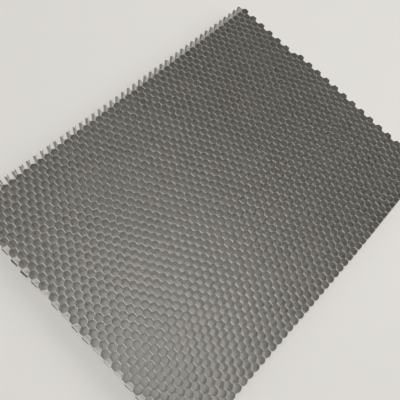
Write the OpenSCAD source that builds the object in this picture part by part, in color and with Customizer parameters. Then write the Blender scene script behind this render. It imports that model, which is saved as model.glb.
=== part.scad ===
// Expanded aluminium honeycomb core, cut to a small panel with open cells and no face sheets.
// Corrugated foil ribbons run along X. Each is glued to the next along Y at its flats, so a cell
// has two double walls (the flats) and four single ones (the slants).
// The ribbon at the +Y edge is torn off over part of its length, and the one at the -Y edge is
// ripped down to a strip under the upper rim. The frame's origin is the middle of the lower face.

/* [Cell] */
// Length of a flat, where two ribbons are glued together
flat_len = 2.31; // [1.5:0.01:5]
// Run along X of one slanted wall
slant_run = 1.155; // [0.6:0.005:2.5]
// Width of an opened cell, from one glued flat to the opposite one
cell_width = 4.14; // [2:0.01:10]

/* [Foil] */
// Thickness of the foil
foil_t = 0.06; // [0.03:0.005:0.15]
// Thickness of the glue line between two flats
bond_line = 0.015; // [0.005:0.005:0.05]

/* [Panel] */
// Length of the panel along the ribbons, at the -Y edge
panel_l = 149.8; // [90:0.1:240]
// Height of the cells, from the lower cut face to the upper one
panel_t = 10; // [4:0.5:40]
// Pairs of unbroken ribbons across the panel
pairs = 47; // [4:1:58]

/* [Cut ends] */
// Length of the forked tips past the first flats, at the -X end
fork_run = 0.7; // [0.1:0.05:0.9]
// Distance from the -Y edge at which the cut at the +X end turns inwards
cut_turn = 102; // [0:1:180]
// How much shorter the panel is at the +Y edge, because of that turn
cut_skew = 2.5; // [0:0.1:8]

/* [Torn ribbon at the +Y edge] */
// Length torn off from the -X end, to the nearest flat that still holds
torn_len = 46; // [5:1:75]

/* [Ripped ribbon at the -Y edge] */
// Height of the strip that is left, down from the upper rim
strip_h = 2; // [1:0.25:4]
// How far the strip sags outwards past its first glued flat, at the -X end
strip_sag = 0.75; // [0.2:0.05:1.8]
// How far it sags past the last flats, at the +X end
strip_sag_end = 0.3; // [0.1:0.05:1.8]
// Run along X over which it drops to that sag, past a flat
sag_run = 0.6; // [0.2:0.05:1.5]
// Distance of the break in the strip from the -X end
break_at = 57; // [20:1:75]
// Run along X of the bent tip at the break
tip_run = 0.45; // [0.2:0.05:0.7]

/* [Hidden] */
column_pitch = flat_len + slant_run;
row_pitch = cell_width / 2;
ribbons = 2 * floor(pairs);
// Distance of a flat's middle plane from the middle of its glue line
bond_offset = (foil_t + bond_line) / 2;
slant_rise = row_pitch - 2 * bond_offset;
// The foil's corners lie on a grid of this size
corner_grid = 0.001;

// Columns of flats that start before the +X cut, the last of them that is glued to the ripped
// strip, and the columns at the tear and at the break
columns = floor((panel_l - fork_run) / column_pitch) + 1;
last_strip_column = 2 * floor((columns - 3) / 2) + 1;
torn_column = odd_column(torn_len - fork_run);
break_column = odd_column(break_at - fork_run - flat_len / 2 - column_pitch);

// The panel's box is centred on the frame's origin
left_cut = -panel_l / 2;
low_reach = max(strip_sag, strip_sag_end) + bond_offset + foil_t / 2;
low_row_y = (low_reach - (ribbons + 1) * row_pitch) / 2;

pair_names = [for (k = [1 : ribbons / 2]) str("ribbon_pair_", k < 10 ? "0" : "", k)];

// The odd column nearest to a run along X from the first column: odd columns meet the edge ribbons
function odd_column(run) = 2 * round((run / column_pitch - 1) / 2) + 1;

// Middle of a column of flats, counted from 0 at the -X end
function column_x(c) = left_cut + fork_run + flat_len / 2 + c * column_pitch;

// Glue line below ribbon r, counted from 0 at the -Y edge
function row_y(r) = low_row_y + r * row_pitch;

// Neighbouring ribbons are mirror images: a flat is up on one and down on the next
function is_up(r, c) = (r + c) % 2 == 0;
function flat_y(r, c) = row_y(r) + (is_up(r, c) ? row_pitch - bond_offset : bond_offset);

// The +X cut at ribbon r: square to X up to the turn, and then on a straight line to the +Y edge
function right_cut(r) =
    let (past_turn = max(r * row_pitch - cut_turn, 0), turned = max(ribbons * row_pitch - cut_turn, row_pitch))
    panel_l / 2 - cut_skew * past_turn / turned;

// Height of ribbon r's middle line at x: a flat near a column's middle, and a slant beyond it
function wave_y(r, x) =
    let (
        c = round((x - column_x(0)) / column_pitch),
        past_flat = max(abs(x - column_x(c)) - flat_len / 2, 0)
    )
    flat_y(r, c) + past_flat * slant_rise / slant_run * (is_up(r, c) ? -1 : 1);

// Middle line of ribbon r between two cuts: the bends that lie between them, and the two cut ends
function wave(r, x0, x1) = concat(
    [[x0, wave_y(r, x0)]],
    [
        for (c = [0 : columns], side = [-1, 1])
            let (x = column_x(c) + side * flat_len / 2)
            if (x > x0 + foil_t && x < x1 - foil_t) [x, flat_y(r, c)]
    ],
    [[x1, wave_y(r, x1)]]
);

// Sag of the ripped strip past column c: it changes evenly from the first column to the last that sags
function sag(c) = strip_sag + (strip_sag_end - strip_sag) * (c - 1) / (last_strip_column - 3);

// Middle line of the ripped strip from column c0 to column c1: each glued flat in turn, and past
// each but the last a short drop to the sag, from which the strip rises to the next flat
function strip(c0, c1) = [
    for (c = [c0 : 2 : c1], corner = [0 : c < c1 ? 2 : 1])
        [
            column_x(c) + (corner == 0 ? -1 : 1) * flat_len / 2 + (corner == 2 ? sag_run : 0),
            flat_y(-1, c) - (corner == 2 ? sag(c) : 0)
        ]
];

// Left-hand unit normal of the stretch from p to q
function normal(p, q) = [p[1] - q[1], q[0] - p[0]] / norm(q - p);
// Offset of a bend between two stretches, and of an end that is cut square to X
function mitre(n1, n2) = (n1 + n2) / (1 + n1 * n2);
function square_cut(n) = [0, 1 / n[1]];

function on_grid(p) = [for (v = p) round(v / corner_grid) * corner_grid];

// One side of a foil, at a distance from its middle line
function foil_side(path, distance) =
    let (last = len(path) - 1, normals = [for (i = [1 : last]) normal(path[i - 1], path[i])])
    [
        for (i = [0 : last])
            on_grid(path[i] + distance * (
                i == 0 ? square_cut(normals[0])
                : i == last ? square_cut(normals[last - 1])
                : mitre(normals[i - 1], normals[i])
            ))
    ];

function reversed(list) = [for (i = [len(list) - 1 : -1 : 0]) list[i]];

// A foil of the given height that stands on its edge along a path
module foil(path, height) {
    near_side = foil_side(path, -foil_t / 2);
    far_side = foil_side(path, foil_t / 2);
    linear_extrude(height)
        polygon(concat(near_side, reversed(far_side)));
}

// Two neighbouring ribbons, as separate pieces of foil
module ribbon_pair(k) {
    color("silver")
        for (r = [2 * k - 2, 2 * k - 1])
            foil(wave(r, left_cut, right_cut(r)), panel_t);
}

// What is left of the outermost ribbon at the +Y edge
module torn_top_ribbon() {
    start = column_x(torn_column) - flat_len / 2;
    color("silver")
        foil(wave(ribbons, start, right_cut(ribbons)), panel_t);
}

// What is left of the outermost ribbon at the -Y edge: a strip in two lengths, with a bent tip
module ripped_bottom_ribbon() {
    before = strip(1, break_column);
    tip = [column_x(break_column) + tip_run, flat_y(-1, break_column)];
    bent_tip = tip + [tip_run, -sag(break_column)];
    color("darkgray")
        translate([0, 0, panel_t - strip_h]) {
            foil(concat([for (i = [0 : len(before) - 2]) before[i]], [tip, bent_tip]), strip_h);
            foil(strip(break_column + 2, last_strip_column), strip_h);
        }
}

for (k = [1 : len(pair_names)])
    ribbon_pair(k);
torn_top_ribbon();
ripped_bottom_ribbon();
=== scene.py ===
"""Open honeycomb core panel of thin aluminium foil, dressed for a plain studio picture.

The panel is a stack of corrugated foil ribbons that are glued to each other at their flats. Each
ribbon is one closed surface: a wave in plan with soft bends, carried up from the lower cut edge to
the upper one. Small seeded irregularities keep the cells from looking as if drawn with a ruler, and
the two ribbons that meet at a glued flat share its shift. Lengths are in metres, unless said
otherwise.
"""

import logging
import math
from dataclasses import dataclass, field
from enum import Enum

import bpy
import numpy as np
from mathutils import Euler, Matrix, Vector

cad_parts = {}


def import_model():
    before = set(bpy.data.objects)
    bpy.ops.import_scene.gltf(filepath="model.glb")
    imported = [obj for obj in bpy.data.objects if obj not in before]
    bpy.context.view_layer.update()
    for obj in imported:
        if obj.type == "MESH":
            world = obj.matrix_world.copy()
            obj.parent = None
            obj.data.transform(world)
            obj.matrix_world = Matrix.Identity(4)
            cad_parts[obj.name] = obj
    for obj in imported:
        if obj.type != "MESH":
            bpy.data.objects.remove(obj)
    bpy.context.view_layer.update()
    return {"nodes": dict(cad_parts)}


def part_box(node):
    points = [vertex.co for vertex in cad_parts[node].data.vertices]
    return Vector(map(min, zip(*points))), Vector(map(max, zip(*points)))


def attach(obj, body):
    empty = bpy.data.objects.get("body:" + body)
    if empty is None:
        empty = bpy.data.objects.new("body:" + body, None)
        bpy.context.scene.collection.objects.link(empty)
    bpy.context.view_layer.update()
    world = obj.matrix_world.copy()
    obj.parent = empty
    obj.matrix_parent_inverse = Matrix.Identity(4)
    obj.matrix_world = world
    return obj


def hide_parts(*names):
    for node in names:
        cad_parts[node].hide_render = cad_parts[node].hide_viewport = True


LOG = logging.getLogger("honeycomb_panel")
MM = 0.001
BODY = "root"
PAIR_PREFIX = "ribbon_pair_"
TORN_NODE = "torn_top_ribbon"
STRIP_NODE = "ripped_bottom_ribbon"
# Angle between two faces, in degrees, above which their edge is shaded as a sharp one
SHARP_DEG = 30.0
# A bend takes at most one part in this many of each of its stretches
BEND_PARTS = 3


class FaceKind(Enum):
    """Which finish a face of a foil takes, as its material index."""

    WALL = 0
    CUT_EDGE = 1
    # Torn glue, with the foil painted nearly black as painted shade on the ripped strip
    GLUED_AND_SHADED = 2


@dataclass(frozen=True)
class CoreSizes:
    """Sizes of the core that all ribbons share.

    Attributes:
        flat_len: Length of a glued flat.
        slant_run: Run along X of a slanted wall.
        foil_t: Thickness of the foil.
        bond_line: Thickness of the glue between two flats.
        fork_run: Length of the forked tips past the first flats.
        sag_run: Run along X over which the ripped strip drops past a flat.
        tip_run: Run along X of the bent tip at the break in the strip.
        break_at: Distance of the break in the strip from the -X end.
        cut_turn: Distance from the first glue line at which the +X cut turns inwards.
        low: Lowest corner of the unbroken ribbons.
        high: Highest corner of the unbroken ribbons.
        short_end: The +X cut at the last unbroken ribbon but one.
        pairs: Number of nodes that hold two unbroken ribbons each.
    """

    flat_len: float = 2.31 * MM
    slant_run: float = 1.155 * MM
    foil_t: float = 0.06 * MM
    bond_line: float = 0.015 * MM
    fork_run: float = 0.7 * MM
    sag_run: float = 0.6 * MM
    tip_run: float = 0.45 * MM
    break_at: float = 57.0 * MM
    cut_turn: float = 102.0 * MM
    low: tuple[float, float, float] = (0.0, 0.0, 0.0)
    high: tuple[float, float, float] = (0.0, 0.0, 0.0)
    short_end: float = 0.0
    pairs: int = 0

    @staticmethod
    def pair_node(k: int) -> str:
        """Name of the node that holds the k-th pair of ribbons, counted from 1."""
        return f"{PAIR_PREFIX}{k:02d}"

    @classmethod
    def from_frame(cls, nodes: dict) -> "CoreSizes":
        """Reads the panel's box and the number of ribbons from the solids.

        Args:
            nodes: The frame's nodes by name.

        Returns:
            The sizes, with the box of the unbroken ribbons filled in.
        """
        pairs = sum(name.startswith(PAIR_PREFIX) for name in nodes)
        low, first_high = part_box(cls.pair_node(1))
        _, last_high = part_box(cls.pair_node(pairs))
        high = (first_high.x, last_high.y, last_high.z)
        return cls(low=tuple(low), high=high, short_end=last_high.x, pairs=pairs)

    @property
    def ribbons(self) -> int:
        """Number of unbroken ribbons."""
        return 2 * self.pairs

    @property
    def height(self) -> float:
        """Height of the cells."""
        return self.high[2] - self.low[2]

    @property
    def row_pitch(self) -> float:
        """Distance between two glue lines along Y."""
        return (self.high[1] - self.low[1] + self.bond_line) / self.ribbons

    @property
    def column_pitch(self) -> float:
        """Distance between the middles of two flats along X."""
        return self.flat_len + self.slant_run

    @property
    def columns(self) -> int:
        """Number of columns of flats that start before the +X cut."""
        return int((self.high[0] - self.low[0] - self.fork_run) / self.column_pitch) + 1

    @property
    def bond_offset(self) -> float:
        """Distance of a flat's middle plane from the middle of its glue line."""
        return (self.foil_t + self.bond_line) / 2

    def column_x(self, c: np.ndarray | int) -> np.ndarray | float:
        """Middle of column c of flats, counted from 0 at the -X end."""
        return self.low[0] + self.fork_run + self.flat_len / 2 + c * self.column_pitch

    def row_y(self, r: int) -> float:
        """Glue line below ribbon r, counted from 0 at the -Y edge."""
        return self.low[1] - self.bond_line / 2 + r * self.row_pitch

    def right_cut(self, r: int) -> float:
        """The +X cut at ribbon r: square to X up to the turn, and on a straight line beyond it."""
        past_turn = max(r * self.row_pitch - self.cut_turn, 0.0)
        turned = (self.ribbons - 2) * self.row_pitch - self.cut_turn
        return self.high[0] - (self.high[0] - self.short_end) * past_turn / turned

    @property
    def break_column(self) -> int:
        """The odd column of flats before the break in the ripped strip."""
        run = self.break_at - self.fork_run - self.flat_len / 2 - self.column_pitch
        return 2 * round((run / self.column_pitch - 1) / 2) + 1


@dataclass
class Irregularity:
    """Small seeded departures of the real core from the drawn one.

    Attributes:
        seed: Seed of all the draws but the ripped strip's sags.
        flat_shift: Spread of a glued flat's place, the same for both of its ribbons.
        wall_bow: Spread of the bow of a slanted wall at half height.
        rim_wear: Spread of the depth of the ragged cut edges.
        rim_lean: Spread of the sideways lean of the upper cut edge.
        fork_close: How far each forked tip is pressed in.
        fork_spread: Spread of that from tip to tip.
        blunt_bend: Place of the bend in a wall that the +X cut pressed over, as a share of the wall.
        blunt_reach: How far its tip still reaches out past the bend, as a share.
        stub_least: Least length of a stub of a flat that the +X cut left standing.
        draw_in: How far the two ends are drawn in halfway across the core.
        draw_fade: How fast that draw fades towards the +Y edge.
        end_drift: How far both ends drift towards +X.
        row_opening: How far the rows near the +Y edge are pulled further open.
        row_lean: How far the rows lean down towards +X.
        strip_seed: Seed of the ripped strip's sags.
        strip_slack: Spread of the ripped strip's sag from span to span, as a share of the sag.
        strip_tautest: Least sag of a span, as a share of the sag.
        rng: Source of the draws that the seed starts.
    """

    seed: int = 20
    flat_shift: float = 0.02 * MM
    wall_bow: float = 0.015 * MM
    rim_wear: float = 0.02 * MM
    rim_lean: float = 0.005 * MM
    fork_close: float = 0.25 * MM
    fork_spread: float = 0.1 * MM
    blunt_bend: float = 0.6
    blunt_reach: float = 0.3
    stub_least: float = 0.3 * MM
    draw_in: float = 0.6 * MM
    draw_fade: float = 0.4
    end_drift: float = 0.17 * MM
    row_opening: float = 0.3 * MM
    row_lean: float = 0.18 * MM
    strip_seed: int = 622
    strip_slack: float = 0.4
    strip_tautest: float = 0.4
    rng: np.random.Generator = field(init=False)

    def __post_init__(self) -> None:
        """Starts the draws."""
        self.rng = np.random.default_rng(self.seed)

    def flat_shifts(self, rows: int, columns: int) -> np.ndarray:
        """Shifts of all glued flats.

        Args:
            rows: Number of glue lines.
            columns: Number of columns of flats.

        Returns:
            Array of rows x columns x 2 shifts in X and Y.
        """
        return self.rng.normal(0.0, self.flat_shift, (rows, columns, 2))

    def smooth_draws(self, count: int, reach: int) -> np.ndarray:
        """Draws along a foil that change gradually: white draws, averaged over a sliding window.

        Args:
            count: Number of points along the foil.
            reach: Length of the window in points.

        Returns:
            Array of draws with a spread of about one.
        """
        draws = self.rng.normal(0.0, 1.0, count + reach - 1)
        return np.convolve(draws, np.full(reach, 1 / math.sqrt(reach)), mode="valid")

    def pulled(self, plan: np.ndarray, half: np.ndarray) -> np.ndarray:
        """Moves plan points by the uneven pull that opened the core.

        With u and v the place along X and Y as shares of the panel's half length and half width,
        the shift along X is end_drift u^2 - draw_in u (1 - v) (1 + draw_fade v), and the shift
        along Y is row_opening v^2 (1 + v) - row_lean u.

        Args:
            plan: Points in plan, N x 2.
            half: Half length and half width of the panel.

        Returns:
            The moved points.
        """
        u, v = (plan / half).T
        along = self.end_drift * u**2 - self.draw_in * u * (1 - v) * (1 + self.draw_fade * v)
        across = self.row_opening * v**2 * (1 + v) - self.row_lean * u
        return plan + np.stack([along, across], axis=1)


def new_finish(name: str, metal: float) -> tuple[bpy.types.Material, bpy.types.ShaderNode]:
    """Starts a node material.

    Args:
        name: Name of the material.
        metal: Share of metal in it.

    Returns:
        The material and its shader node.
    """
    mat = bpy.data.materials.new(name)
    mat.use_nodes = True
    shader = mat.node_tree.nodes["Principled BSDF"]
    shader.inputs["Metallic"].default_value = metal
    return mat, shader


def mottle(mat: bpy.types.Material, tints: tuple, scale: float, detail: float) -> None:
    """Mixes two base colours in a material, by noise on Object coordinates.

    Args:
        mat: The material.
        tints: The two colours.
        scale: Scale of the noise, for each metre.
        detail: Detail of the noise.
    """
    tree = mat.node_tree
    first, second = tints
    coords = tree.nodes.new("ShaderNodeTexCoord")
    noise = tree.nodes.new("ShaderNodeTexNoise")
    noise.inputs["Scale"].default_value = scale
    noise.inputs["Detail"].default_value = detail
    tint = tree.nodes.new("ShaderNodeMix")
    tint.data_type = "RGBA"
    tint.inputs["A"].default_value = (*first, 1.0)
    tint.inputs["B"].default_value = (*second, 1.0)
    tree.links.new(coords.outputs["Object"], noise.inputs["Vector"])
    tree.links.new(noise.outputs["Fac"], tint.inputs["Factor"])
    tree.links.new(tint.outputs["Result"], tree.nodes["Principled BSDF"].inputs["Base Color"])


@dataclass(frozen=True)
class FoilFinish:
    """Mill-finish aluminium foil with faint rolling streaks along the ribbon.

    Attributes:
        name: Name of the material.
        metal: Share of metal in the surface.
        pale: Base colour of the cleaner metal.
        dull: Base colour of the duller metal.
        roughness: Lowest and highest roughness of the streaks.
        streak_scale: Scale of the streaks along the ribbon and up the wall, for each metre.
        streak_detail: Detail of the streaks.
        patch_scale: Scale of the dull patches, for each metre.
        patch_detail: Detail of the patches.
        bump: Strength of the streaks' relief.
        bump_depth: Depth of the streaks' relief.
    """

    name: str = "foil_wall"
    metal: float = 1.0
    pale: tuple[float, float, float] = (0.87, 0.86, 0.835)
    dull: tuple[float, float, float] = (0.80, 0.79, 0.765)
    roughness: tuple[float, float] = (0.30, 0.45)
    streak_scale: tuple[float, float] = (60.0, 2400.0)
    streak_detail: float = 3.0
    patch_scale: float = 55.0
    patch_detail: float = 4.0
    bump: float = 0.25
    bump_depth: float = 0.01 * MM

    def material(self) -> bpy.types.Material:
        """Builds the node material.

        Returns:
            The material, with streaks on the foil's own UV map and patches on Object coordinates.
        """
        mat, shader = new_finish(self.name, self.metal)
        mottle(mat, (self.dull, self.pale), self.patch_scale, self.patch_detail)
        tree = mat.node_tree
        coords = tree.nodes.new("ShaderNodeTexCoord")
        stretch = tree.nodes.new("ShaderNodeMapping")
        stretch.inputs["Scale"].default_value = (*self.streak_scale, 1.0)
        streaks = tree.nodes.new("ShaderNodeTexNoise")
        streaks.inputs["Scale"].default_value = 1.0
        streaks.inputs["Detail"].default_value = self.streak_detail
        sheen = tree.nodes.new("ShaderNodeMapRange")
        sheen.inputs["To Min"].default_value = self.roughness[0]
        sheen.inputs["To Max"].default_value = self.roughness[1]
        relief = tree.nodes.new("ShaderNodeBump")
        relief.inputs["Strength"].default_value = self.bump
        relief.inputs["Distance"].default_value = self.bump_depth
        tree.links.new(coords.outputs["UV"], stretch.inputs["Vector"])
        tree.links.new(stretch.outputs["Vector"], streaks.inputs["Vector"])
        tree.links.new(streaks.outputs["Fac"], sheen.inputs["Value"])
        tree.links.new(sheen.outputs["Result"], shader.inputs["Roughness"])
        tree.links.new(streaks.outputs["Fac"], relief.inputs["Height"])
        tree.links.new(relief.outputs["Normal"], shader.inputs["Normal"])
        return mat


@dataclass(frozen=True)
class CutEdgeFinish:
    """Bare, slightly burred metal on the cut edges of the foil.

    Attributes:
        name: Name of the material.
        metal: Share of metal in the surface.
        bright: Base colour of the fresh cut.
        worn: Base colour of the smeared burr.
        edge_roughness: Roughness of the cut.
        grit_scale: Scale of the burr's grit, for each metre.
        grit_detail: Detail of the grit.
    """

    name: str = "foil_cut_edge"
    metal: float = 1.0
    bright: tuple[float, float, float] = (0.84, 0.835, 0.825)
    worn: tuple[float, float, float] = (0.62, 0.615, 0.605)
    edge_roughness: float = 0.6
    grit_scale: float = 1800.0
    grit_detail: float = 2.0

    def material(self) -> bpy.types.Material:
        """Builds the node material.

        Returns:
            The material, with grit on Object coordinates.
        """
        mat, shader = new_finish(self.name, self.metal)
        shader.inputs["Roughness"].default_value = self.edge_roughness
        mottle(mat, (self.worn, self.bright), self.grit_scale, self.grit_detail)
        return mat


@dataclass(frozen=True)
class GlueAndShadeFinish:
    """Foil that a neighbour was ripped off from, dulled by torn glue and painted nearly black as painted
    shade on the ripped strip's faces.

    Attributes:
        name: Name of the material.
        glue: Colour where glue is left, darkened as painted shade on the strip's faces.
        bare_in_painted_shade: Colour where the foil shows, darkened as painted shade on the strip's
            faces.
        glue_roughness: Roughness of the side.
        metal: Share of metal in the side.
        smear_scale: Scale of the smears, for each metre.
        smear_detail: Detail of the smears.
    """

    name: str = "foil_glue_and_painted_shade"
    # Both colours are nearly black: painted shade on the ripped strip's faces, over its torn glue
    glue: tuple[float, float, float] = (0.08, 0.078, 0.075)
    bare_in_painted_shade: tuple[float, float, float] = (0.18, 0.177, 0.171)
    glue_roughness: float = 0.6
    metal: float = 0.5
    smear_scale: float = 700.0
    smear_detail: float = 3.0

    def material(self) -> bpy.types.Material:
        """Builds the node material.

        Returns:
            The material, with smears on Object coordinates.
        """
        mat, shader = new_finish(self.name, self.metal)
        shader.inputs["Roughness"].default_value = self.glue_roughness
        mottle(mat, (self.glue, self.bare_in_painted_shade), self.smear_scale, self.smear_detail)
        return mat


@dataclass
class Foil:
    """A closed sheet of foil that stands on its edge along a path.

    Attributes:
        path: Middle line in plan, N x 2.
        bow: Sideways bow at half height for each point, N.
        lower: Height of the lower edge for each point, N.
        upper: Height of the upper edge for each point, N.
        lean: Sideways shift of the upper edge for each point, N.
        flare: Sideways shift of the lower edge for each point, N.
        lip: How far the upper edge stands out on the left and on the right, N x 2.
        thickness: Thickness of the foil.
        side_kind: Finish of its two sides.
        levels: Shares of the height at which a side has a row of points.
        lean_power: Power of the share of the height with which the lean grows.
    """

    path: np.ndarray
    bow: np.ndarray
    lower: np.ndarray
    upper: np.ndarray
    lean: np.ndarray
    flare: np.ndarray
    lip: np.ndarray
    thickness: float
    side_kind: FaceKind = FaceKind.WALL
    levels: tuple[float, ...] = (0.0, 0.5, 0.998, 1.0)
    lean_power: int = 8

    @property
    def rows(self) -> int:
        """Number of rows of points up each side."""
        return len(self.levels)

    def rings(self) -> tuple[np.ndarray, np.ndarray]:
        """Closed rings of points around the foil's section, one for each point of the path.

        A point at share f of the height lies at path + normal * (side * thickness / 2 + bow * 4 f
        (1 - f) + lean * f^lean_power - flare * (1 - f)), at height lower + f * (upper - lower), and
        at f = 1 it stands out by the lip of its side as well. A ring goes up the one side and down
        the other.

        Returns:
            Points, N x 2 rows x 3, and UV places, N x 2 rows x 2, the run along the path and the
            height.
        """
        step = np.gradient(self.path, axis=0)
        normal = np.stack([-step[:, 1], step[:, 0]], axis=1)
        normal /= np.linalg.norm(normal, axis=1, keepdims=True)
        up = np.array(self.levels)
        share = np.concatenate([up, up[::-1]])
        side = np.repeat([1.0, -1.0], self.rows)
        offset = (
            side * (self.thickness / 2 + np.repeat(self.lip, self.rows, axis=1) * (share == 1.0))
            + self.bow[:, None] * 4 * share * (1 - share)
            + self.lean[:, None] * share**self.lean_power
            - self.flare[:, None] * (1 - share)
        )
        plan = self.path[:, None, :] + normal[:, None, :] * offset[:, :, None]
        z = self.lower[:, None] + (self.upper - self.lower)[:, None] * share
        run = np.concatenate([[0.0], np.cumsum(np.linalg.norm(np.diff(self.path, axis=0), axis=1))])
        uv = np.stack([np.broadcast_to(run[:, None], z.shape), z], axis=2)
        return np.concatenate([plan, z[:, :, None]], axis=2), uv

    def quads(self) -> tuple[np.ndarray, np.ndarray]:
        """Faces between neighbouring rings, and those that close the two ends.

        Returns:
            Point indices of the faces, F x 4, and the finish of each, F.
        """
        count, size = len(self.path), 2 * self.rows
        i, j = np.meshgrid(np.arange(count - 1), np.arange(size), indexing="ij")
        following = (j + 1) % size
        around = np.stack(
            [i * size + j, i * size + following, (i + 1) * size + following, (i + 1) * size + j], axis=-1
        )
        is_rim = (j == self.rows - 1) | (j == size - 1)
        k = np.arange(self.rows - 1)
        start = np.stack([k, size - 1 - k, size - 2 - k, k + 1], axis=-1)
        end = start[:, ::-1] + (count - 1) * size
        faces = np.concatenate([around.reshape(-1, 4), start, end])
        kinds = np.full(len(faces), FaceKind.CUT_EDGE.value)
        kinds[: is_rim.size] = np.where(is_rim, FaceKind.CUT_EDGE.value, self.side_kind.value).ravel()
        return faces, kinds


def softened(corners: np.ndarray, bend: float, points: int) -> np.ndarray:
    """Rounds the bends of an open line and adds a point in the middle of each stretch.

    At a corner C between the directions a and b, the bend is the parabola (1 - t)^2 (C - bend a) +
    2 t (1 - t) C + t^2 (C + bend b) for t from 0 to 1. The two ends stay as they are.

    Args:
        corners: Corners of the line, K x 2.
        bend: Length that a bend takes from each of its stretches, within the limit of BEND_PARTS.
        points: Number of points on a bend.

    Returns:
        Points of the rounded line.
    """
    stretch = np.diff(corners, axis=0)
    length = np.linalg.norm(stretch, axis=1, keepdims=True)
    reach = np.minimum(bend, length / BEND_PARTS) * stretch / length
    t = np.linspace(0.0, 1.0, points)[None, :, None]
    inner = corners[1:-1, None, :]
    before, after = inner - reach[:-1, None, :], inner + reach[1:, None, :]
    bends = (1 - t) ** 2 * before + 2 * t * (1 - t) * inner + t**2 * after
    middles = (corners[1:-2] + corners[2:-1]) / 2
    with_middles = np.concatenate([bends[:-1], middles[:, None, :]], axis=1).reshape(-1, 2)
    return np.concatenate([corners[:1], with_middles, bends[-1], corners[-1:]])


def foil_object(name: str, foils: list[Foil], finishes: list[bpy.types.Material]) -> bpy.types.Object:
    """Makes one object of some foils that lie apart.

    Args:
        name: Name of the object.
        foils: The foils.
        finishes: Materials in the order of FaceKind.

    Returns:
        The object, linked to the scene.
    """
    points, places, faces, kinds = [], [], [], []
    first = 0
    for foil in foils:
        ring, uv = foil.rings()
        quads, kind = foil.quads()
        points.append(ring.reshape(-1, 3))
        places.append(uv.reshape(-1, 2))
        faces.append(quads + first)
        kinds.append(kind)
        first += ring.shape[0] * ring.shape[1]
    corners = np.concatenate(faces)
    mesh = bpy.data.meshes.new(name)
    mesh.vertices.add(first)
    mesh.vertices.foreach_set("co", np.concatenate(points).ravel())
    mesh.loops.add(corners.size)
    mesh.loops.foreach_set("vertex_index", corners.ravel())
    mesh.polygons.add(len(corners))
    mesh.polygons.foreach_set("loop_start", np.arange(0, corners.size, corners.shape[1]))
    mesh.polygons.foreach_set("material_index", np.concatenate(kinds))
    mesh.polygons.foreach_set("use_smooth", np.ones(len(corners), dtype=bool))
    uv_map = mesh.uv_layers.new(name="foil_run")
    uv_map.data.foreach_set("uv", np.concatenate(places)[corners.ravel()].ravel())
    for finish in finishes:
        mesh.materials.append(finish)
    mesh.update(calc_edges=True)
    mesh.validate()
    mesh.set_sharp_from_angle(angle=math.radians(SHARP_DEG))
    obj = bpy.data.objects.new(name, mesh)
    bpy.context.scene.collection.objects.link(obj)
    return obj


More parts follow.
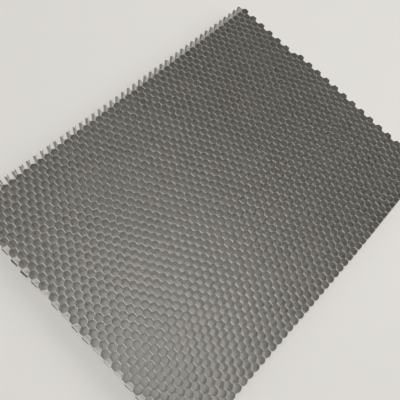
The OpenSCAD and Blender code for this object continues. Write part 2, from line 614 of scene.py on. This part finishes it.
@dataclass
class HoneycombCore:
    """The whole core: unbroken ribbons in pairs, and the torn ribbons at two edges.

    Attributes:
        sizes: Sizes of the core.
        uneven: The core's irregularities.
        finishes: Materials in the order of FaceKind.
        bend: Length that a bend takes from each of its walls.
        bend_points: Number of points on a bend.
        smooth_reach: Points over which a slow change along a foil is averaged.
        burr: How far the burr at the upper edge of a flat stands out on its free side.
        feather: How much each side of a slanted wall is worn away at its upper edge.
        lip_power: Power with which the burr and the wear change from the flats to the slants.
        rip_depth: Spread of the ragged lower edge of the ripped strip.
        rip_clip: Deepest tear in that edge, in spreads.
        rip_rim: Sag of the strip at its upper edge, as a share of the solid's sag.
        rip_flare: How far its lower edge is bent further out, as a share of the solid's sag.
        flare_run: Run past a glued flat over which the lower edge reaches that bend.
        flare_rise: Share of that bend that is lost along a span towards +X.
        slack_end: Sag of the ripped strip past its break, as a share of that before it.
        shifts: Shift of each glued flat, rows x columns x 2.
        slack: Sag of each span of the ripped strip, as a share of the strip's sag.
    """

    sizes: CoreSizes
    uneven: Irregularity
    finishes: list[bpy.types.Material]
    bend: float = 0.16 * MM
    bend_points: int = 4
    smooth_reach: int = 9
    burr: float = 0.03 * MM
    feather: float = 0.02 * MM
    lip_power: int = 4
    rip_depth: float = 0.2 * MM
    rip_clip: float = 3.0
    rip_rim: float = 0.3
    rip_flare: float = 1.5
    flare_run: float = 0.45 * MM
    flare_rise: float = 0.5
    slack_end: float = 0.5
    shifts: np.ndarray = field(init=False)
    slack: np.ndarray = field(init=False)

    def __post_init__(self) -> None:
        """Draws the shift of every glued flat, with one more column at each end, and the slack."""
        s, uneven = self.sizes, self.uneven
        self.shifts = uneven.flat_shifts(s.ribbons + 2, s.columns + 2)
        spans = (s.columns + 1) // 2
        draws = np.random.default_rng(uneven.strip_seed).normal(0.0, uneven.strip_slack, spans)
        past_break = np.arange(spans) > s.break_column // 2
        self.slack = np.maximum(1 - np.abs(draws), uneven.strip_tautest)
        self.slack[past_break] *= self.slack_end

    @property
    def half(self) -> np.ndarray:
        """Half length and half width of the panel."""
        return (np.array(self.sizes.high[:2]) - np.array(self.sizes.low[:2])) / 2

    def wave(self, r: int) -> np.ndarray:
        """Corners of ribbon r's middle line, one column past both ends of the panel.

        Column c's flat lies at the upper glue line if r + c is even and at the lower one if it is
        odd, and moves with that flat's shift.

        Args:
            r: The ribbon, counted from 0 at the -Y edge.

        Returns:
            Corners in plan, in the order of X.
        """
        s = self.sizes
        c = np.arange(-1, s.columns + 1)
        up = (r + c) % 2 == 0
        flat_y = s.row_y(r) + np.where(up, s.row_pitch - s.bond_offset, s.bond_offset)
        shift = self.shifts[r + up, c + 1]
        x = s.column_x(c)[:, None] + np.array([-0.5, 0.5]) * s.flat_len + shift[:, :1]
        y = np.broadcast_to((flat_y + shift[:, 1])[:, None], x.shape)
        return np.stack([x.ravel(), y.ravel()], axis=1)

    def cut_wave(self, r: int, x0: float, x1: float) -> np.ndarray:
        """Ribbon r's middle line between two cuts, with its cut ends.

        Args:
            r: The ribbon.
            x0: The cut at the -X end.
            x1: The cut at the +X end.

        Returns:
            Corners in plan.
        """
        corners = self.wave(r)
        margin = self.sizes.foil_t
        inside = corners[(corners[:, 0] > x0 + margin) & (corners[:, 0] < x1 - margin)]
        ends = np.array([x0, x1])
        cuts = np.stack([ends, np.interp(ends, corners[:, 0], corners[:, 1])], axis=1)
        return np.concatenate([cuts[:1], inside, cuts[1:]])

    def lips(self, path: np.ndarray, middle: float) -> np.ndarray:
        """How a ribbon's upper edge is worn thin on the slants and burred on the flats' free sides.

        With w the place across the ribbon from -1 at its lower flats to 1 at its upper ones, and p
        the lip_power, the left side stands out by burr * max(-w, 0)^p - feather * (1 - w^p), and the
        right side by burr * max(w, 0)^p - feather * (1 - w^p).

        Args:
            path: Points of the middle line, N x 2.
            middle: Place along Y halfway between its lower and its upper flats.

        Returns:
            How far the edge stands out on the left and on the right, N x 2.
        """
        w = (path[:, 1] - middle) / (self.sizes.row_pitch / 2 - self.sizes.bond_offset)
        w = np.clip(w, -1.0, 1.0)
        free_side = np.clip(np.stack([-w, w], axis=1), 0.0, None)
        return self.burr * free_side**self.lip_power - self.feather * (1 - w[:, None] ** self.lip_power)

    def foil(self, corners: np.ndarray, r: int) -> Foil:
        """A sawn foil along some corners of ribbon r, with soft bends, bowed walls and worn edges.

        Args:
            corners: Corners of its middle line.
            r: The ribbon.

        Returns:
            The foil.
        """
        s, uneven = self.sizes, self.uneven
        drawn = softened(corners, self.bend, self.bend_points)
        path = uneven.pulled(drawn, self.half)
        count = len(path)
        slope = np.abs(np.gradient(path[:, 1])) / np.linalg.norm(np.gradient(path, axis=0), axis=1)
        drawn_for = ("bow", "lower", "upper", "lean")
        draws = {use: uneven.smooth_draws(count, self.smooth_reach) for use in drawn_for}
        return Foil(
            path=path,
            bow=draws["bow"] * uneven.wall_bow * slope,
            lower=s.low[2] + np.abs(draws["lower"]) * uneven.rim_wear,
            upper=s.high[2] - np.abs(draws["upper"]) * uneven.rim_wear,
            lean=draws["lean"] * uneven.rim_lean,
            flare=np.zeros(count),
            lip=self.lips(drawn, s.row_y(r) + s.row_pitch / 2),
            thickness=s.foil_t,
        )

    def flare(self, x: np.ndarray, sag: float) -> np.ndarray:
        """How far the ripped strip's lower edge is bent out at some places along X.

        A span runs from the middle of one glued flat to the middle of the next. With d the distance
        past the end of the nearest flat, and t the share of the span that lies behind, this is
        rip_flare * sag * slack of the span * (1 - flare_rise t) * min(d / flare_run, 1), and nothing
        on a flat.

        Args:
            x: Places along X.
            sag: The solid's sag.

        Returns:
            The bend at each place.
        """
        s = self.sizes
        spacing = 2 * s.column_pitch
        along = (x - s.column_x(1)) / spacing
        past_flat = np.abs(along - np.round(along)) * spacing - s.flat_len / 2
        span = np.clip(along.astype(int), 0, len(self.slack) - 1)
        rising = 1 - self.flare_rise * np.clip(along - span, 0.0, 1.0)
        greatest = self.rip_flare * sag * self.slack[span] * rising
        return greatest * np.clip(past_flat / self.flare_run, 0.0, 1.0)

    def ripped_foil(self, corners: np.ndarray, lower: float, sag: float) -> Foil:
        """A length of the ripped strip, whose ragged lower edge is bent out between the flats.

        Args:
            corners: Corners of its middle line.
            lower: Height of its lower edge.
            sag: The solid's sag.

        Returns:
            The foil, dulled by torn glue and darkened with painted shade.
        """
        s, uneven = self.sizes, self.uneven
        drawn = softened(corners, self.bend, self.bend_points)
        count = len(drawn)
        torn = np.clip(uneven.smooth_draws(count, self.smooth_reach), 0.0, self.rip_clip)
        worn = np.abs(uneven.smooth_draws(count, self.smooth_reach))
        return Foil(
            path=uneven.pulled(drawn, self.half),
            bow=np.zeros(count),
            lower=lower + torn * self.rip_depth,
            upper=s.high[2] - worn * uneven.rim_wear,
            lean=np.zeros(count),
            flare=self.flare(drawn[:, 0], sag),
            lip=np.zeros((count, 2)),
            thickness=s.foil_t,
            # Both sides take the near-black finish that paints shade onto the strip
            side_kind=FaceKind.GLUED_AND_SHADED,
        )

    def ribbon(self, r: int) -> Foil:
        """Unbroken ribbon r, its tip pressed in a little at the -X end and bent over at the +X end."""
        corners = self.blunted(self.cut_wave(r, self.sizes.low[0], self.sizes.right_cut(r)), r)
        close = self.uneven.rng.normal(self.uneven.fork_close, self.uneven.fork_spread)
        corners[0, 1] -= close * np.sign(corners[0, 1] - corners[1, 1])
        return self.foil(corners, r)

    def blunted(self, corners: np.ndarray, r: int) -> np.ndarray:
        """Bends the last wall over at the +X cut, so that its tip closes the last cell.

        The blade pressed the wall over before it parted: past the bend, the wall runs nearly along
        the cut to the glue line that it was heading for.

        Args:
            corners: Corners of ribbon r's middle line.
            r: The ribbon.

        Returns:
            The corners, with the end bent over.
        """
        s, uneven = self.sizes, self.uneven
        on_flat = abs(corners[-1, 1] - corners[-2, 1]) < s.foil_t
        if on_flat and corners[-1, 0] - corners[-2, 0] < uneven.stub_least:
            corners, on_flat = corners[:-1], False
        before, end = corners[-2:]
        heading_up = before[1] < s.row_y(r) + s.row_pitch / 2
        goal = s.row_y(r) + (s.row_pitch - s.bond_offset if heading_up else s.bond_offset)
        if on_flat:
            return np.concatenate([corners, [[end[0], goal]]])
        share = min(uneven.blunt_bend, (end[0] - before[0]) / s.slant_run)
        bend = before + share * np.array([s.slant_run, goal - before[1]])
        tip = np.array([bend[0] + (end[0] - bend[0]) * uneven.blunt_reach, goal])
        return np.concatenate([corners[:-1], [bend, tip]])

    def dress(self, name: str, foils: list[Foil], node: str) -> None:
        """Makes an object of some foils and lets it stand for a node.

        Args:
            name: Name of the object.
            foils: The foils.
            node: The node that they stand for.
        """
        obj = foil_object(name, foils, self.finishes)
        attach(obj, BODY)
        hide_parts(node)
        LOG.info("%s stands for %s with %d faces", name, node, len(obj.data.polygons))

    def build_pairs(self) -> None:
        """Builds the unbroken ribbons, two to an object."""
        for k in range(1, self.sizes.pairs + 1):
            foils = [self.ribbon(2 * k - 2), self.ribbon(2 * k - 1)]
            self.dress(f"foil_pair_{k:02d}", foils, self.sizes.pair_node(k))

    def build_torn(self) -> None:
        """Builds what is left of the ribbon at the +Y edge, from the flat that still holds."""
        s = self.sizes
        start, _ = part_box(TORN_NODE)
        corners = self.cut_wave(s.ribbons, start.x, s.right_cut(s.ribbons))
        self.dress("foil_torn_edge", [self.foil(corners, s.ribbons)], TORN_NODE)

    def strip_corners(self, c0: int, c1: int, sag: float) -> np.ndarray:
        """Corners of the ripped strip: glued flats, each followed by a drop and a slow rise.

        Args:
            c0: First glued column.
            c1: Last glued column.
            sag: The solid's sag.

        Returns:
            Corners in plan, the last of them the end of the last flat.
        """
        s = self.sizes
        c = np.arange(c0, c1 + 1, 2)
        free = 2 * s.column_pitch - s.flat_len
        past_flat = np.array([-s.flat_len, 0.0, s.sag_run, free - s.sag_run])
        sagging = np.array([0.0, 0.0, 1.0, s.sag_run / (free - s.sag_run)])
        shift = self.shifts[0, c + 1]
        x = (s.column_x(c) + s.flat_len / 2 + shift[:, 0])[:, None] + past_flat
        drop = sag * self.rip_rim * self.slack[c // 2]
        y = (s.row_y(0) - s.bond_offset + shift[:, 1])[:, None] - drop[:, None] * sagging
        return np.stack([x.ravel(), y.ravel()], axis=1)[:-2]

    def build_strip(self) -> None:
        """Builds the two lengths of the ripped strip at the -Y edge, with a bent tip at the break."""
        s = self.sizes
        low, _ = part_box(STRIP_NODE)
        sag = s.row_y(0) - s.bond_offset - s.foil_t / 2 - low.y
        last = 2 * ((s.columns - 3) // 2) + 1
        middle = s.break_column
        before = self.strip_corners(1, middle, sag)
        tip = np.array([s.column_x(middle) + s.tip_run, before[-1, 1]])
        bent = tip + np.array([s.tip_run, -sag * self.rip_rim])
        before = np.concatenate([before[:-1], [tip, bent]])
        after = self.strip_corners(middle + 2, last, sag)
        foils = [self.ripped_foil(corners, low.z, sag) for corners in (before, after)]
        self.dress("foil_ripped_strip", foils, STRIP_NODE)


@dataclass(frozen=True)
class Studio:
    """Pale floor, soft light and the camera.

    Attributes:
        floor_side: Side of the floor.
        floor_colour: Colour of the floor.
        floor_roughness: Roughness of the floor.
        sky: Strength of the even light from all round.
        sky_colour: Colour of that light.
        lamp_colour: Colour of the soft lamps.
        window_place: Place of the lamp on the +X and +Y side, which has a twin on the -X side.
        window_side: Side of those lamps.
        window_power: Power of the first of those lamps, in watts.
        twin_share: Power of its twin, as a share.
        ceiling_place: Place of the lamp overhead.
        ceiling_side: Side of that lamp.
        ceiling_power: Power of that lamp, in watts.
        camera_place: Place of the camera from the -X end, the first glue line and the upper face.
        camera_turn: Turn of the camera about X, Y and Z, in degrees.
        focal_px: Focal length in pixels of the picture.
        picture_px: Width of the picture in pixels.
        sensor: Width of the camera's sensor, in millimetres.
        clip_start: Least distance that the camera sees.
    """

    floor_side: float = 6.0
    floor_colour: tuple[float, float, float] = (0.74, 0.725, 0.70)
    floor_roughness: float = 0.6
    sky: float = 0.4
    sky_colour: tuple[float, float, float] = (1.0, 0.995, 0.985)
    lamp_colour: tuple[float, float, float] = (1.0, 0.99, 0.97)
    window_place: tuple[float, float, float] = (0.35, 0.42, 0.45)
    window_side: float = 0.5
    window_power: float = 1.25
    twin_share: float = 0.5
    ceiling_place: tuple[float, float, float] = (-0.06, -0.16, 1.05)
    ceiling_side: float = 0.55
    ceiling_power: float = 4.4
    camera_place: tuple[float, float, float] = (103.05 * MM, 3.43 * MM, 209.86 * MM)
    camera_turn: tuple[float, float, float] = (20.29, -9.52, 44.42)
    focal_px: float = 447.2
    picture_px: float = 400.0
    sensor: float = 36.0
    clip_start: float = 0.01

    def build_floor(self) -> None:
        """Builds the floor, a plain square at the height of the panel's lower face."""
        half = self.floor_side / 2
        corners = [(-half, -half, 0), (half, -half, 0), (half, half, 0), (-half, half, 0)]
        mesh = bpy.data.meshes.new("floor")
        mesh.from_pydata(corners, [], [(0, 1, 2, 3)])
        mat, shader = new_finish("pale_floor", metal=0.0)
        shader.inputs["Base Color"].default_value = (*self.floor_colour, 1.0)
        shader.inputs["Roughness"].default_value = self.floor_roughness
        mesh.materials.append(mat)
        floor = bpy.data.objects.new("floor", mesh)
        bpy.context.scene.collection.objects.link(floor)

    def soft_lamp(self, name: str, place: tuple[float, float, float], side: float, power: float) -> None:
        """Builds a square lamp that faces the panel.

        Args:
            name: Name of the lamp.
            place: Its place.
            side: Its side.
            power: Its power, in watts.
        """
        lamp = bpy.data.lights.new(name, "AREA")
        lamp.size = side
        lamp.energy = power
        lamp.color = self.lamp_colour
        holder = bpy.data.objects.new(name, lamp)
        holder.location = place
        holder.rotation_euler = (-Vector(place)).to_track_quat("-Z", "Y").to_euler()
        bpy.context.scene.collection.objects.link(holder)

    def build_light(self) -> None:
        """Builds the even light from all round, two soft lamps on the +Y side and one overhead."""
        world = bpy.data.worlds.new("studio")
        world.use_nodes = True
        sky = world.node_tree.nodes["Background"]
        sky.inputs["Color"].default_value = (*self.sky_colour, 1.0)
        sky.inputs["Strength"].default_value = self.sky
        bpy.context.scene.world = world
        x, y, z = self.window_place
        self.soft_lamp("window_right", (x, y, z), self.window_side, self.window_power)
        self.soft_lamp("window_left", (-x, y, z), self.window_side, self.window_power * self.twin_share)
        self.soft_lamp("ceiling", self.ceiling_place, self.ceiling_side, self.ceiling_power)

    def build_camera(self, sizes: CoreSizes) -> None:
        """Builds the camera at the picture's viewing angle and makes it the scene's.

        Args:
            sizes: Sizes of the core that it looks at.
        """
        camera = bpy.data.cameras.new("camera")
        camera.sensor_width = self.sensor
        camera.lens = self.focal_px / self.picture_px * self.sensor
        camera.clip_start = self.clip_start
        holder = bpy.data.objects.new("camera", camera)
        panel_corner = Vector((sizes.low[0], sizes.row_y(0), sizes.high[2]))
        holder.location = panel_corner + Vector(self.camera_place)
        holder.rotation_euler = Euler([math.radians(a) for a in self.camera_turn], "XYZ")
        bpy.context.scene.collection.objects.link(holder)
        bpy.context.scene.camera = holder


def main() -> None:
    """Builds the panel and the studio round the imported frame."""
    logging.basicConfig(level=logging.INFO, format="%(name)s: %(message)s")
    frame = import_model()
    bpy.context.scene.view_settings.view_transform = "Standard"
    sizes = CoreSizes.from_frame(frame["nodes"])
    studio = Studio()
    studio.build_camera(sizes)
    studio.build_light()
    studio.build_floor()
    # The third finish paints shade onto the ripped strip as near-black foil
    finishes = [finish.material() for finish in (FoilFinish(), CutEdgeFinish(), GlueAndShadeFinish())]
    core = HoneycombCore(sizes, Irregularity(), finishes)
    core.build_pairs()
    core.build_torn()
    core.build_strip()


if __name__ == "__main__":
    main()
